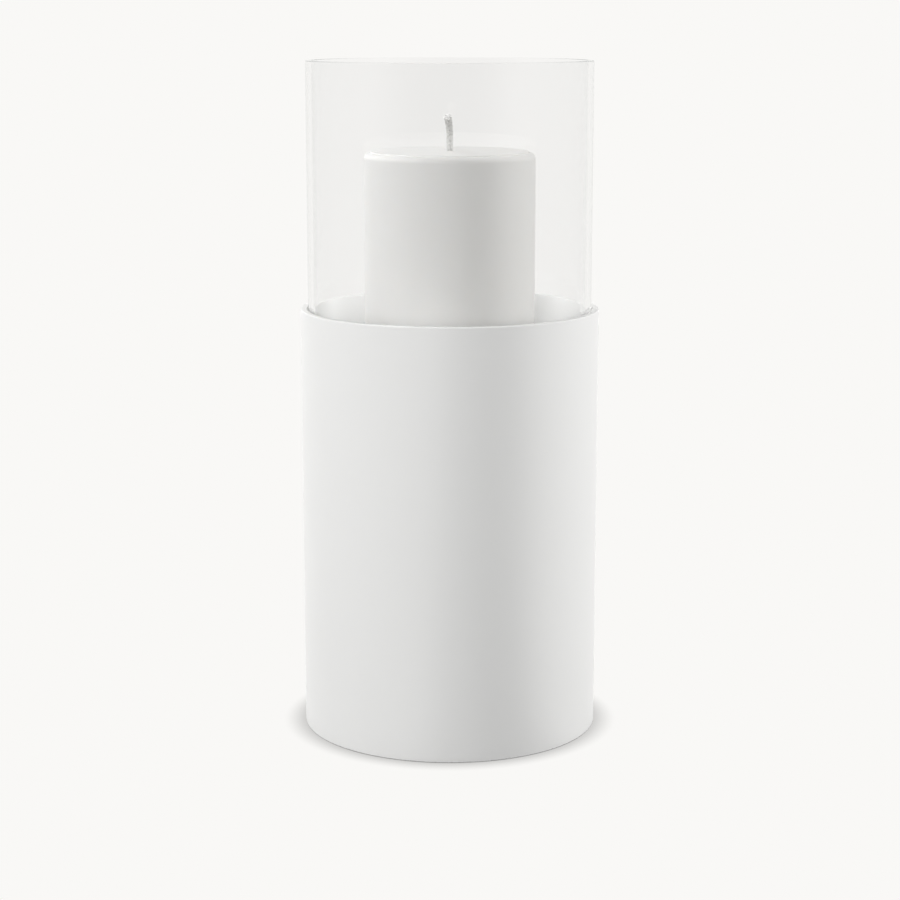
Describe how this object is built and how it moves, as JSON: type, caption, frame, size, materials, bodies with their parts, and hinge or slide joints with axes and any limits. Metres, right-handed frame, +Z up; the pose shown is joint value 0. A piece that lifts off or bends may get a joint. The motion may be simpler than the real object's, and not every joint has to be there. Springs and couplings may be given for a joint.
{
  "type": "hurricane candle lantern",
  "caption": "Free-standing round lantern: a plain steel tube holds a clear glass cylinder round a pillar candle on a lift-out drip plate.",
  "frame": {"origin": "on the table, on the lantern's axis", "axes": "+Z up along the lantern's axis; -Y towards the picture's camera"},
  "size_m": [0.14, 0.14, 0.3155],
  "materials": {
    "coated_steel": "matt white powder coat",
    "silicone": "translucent white silicone",
    "zinc_steel": "bright zinc plate",
    "clear_glass": "clear, fire-polished edges",
    "wax": "smooth white paraffin wax",
    "cotton": "waxed cotton braid"
  },
  "bodies": {
    "holder": {"body_tube": "coated_steel", "rim_ring": "coated_steel", "base_plate": "coated_steel", "foot_1": "silicone", "foot_2": "silicone", "foot_3": "silicone", "foot_4": "silicone", "shelf": "coated_steel", "bracket_1": "coated_steel", "bracket_2": "coated_steel", "bracket_3": "coated_steel", "shelf_screws": "zinc_steel", "weld_nuts": "zinc_steel", "glass_seat_ring": "silicone"},
    "glass": {"glass_cylinder": "clear_glass"},
    "plate": {"drip_plate": "coated_steel"},
    "candle": {"candle_wax": "wax", "wick": "cotton", "wick_clip": "zinc_steel"}
  },
  "joints": [
    {"name": "glass_lift", "type": "slide", "parent": "holder", "child": "glass", "axis": [0, 0, 1], "range_m": [0, 0.18]},
    {"name": "plate_lift", "type": "slide", "parent": "holder", "child": "plate", "axis": [0, 0, 1], "range_m": [0, 0.2]},
    {"name": "candle_lift", "type": "slide", "parent": "plate", "child": "candle", "axis": [0, 0, 1], "range_m": [0, 0.2]}
  ]
}
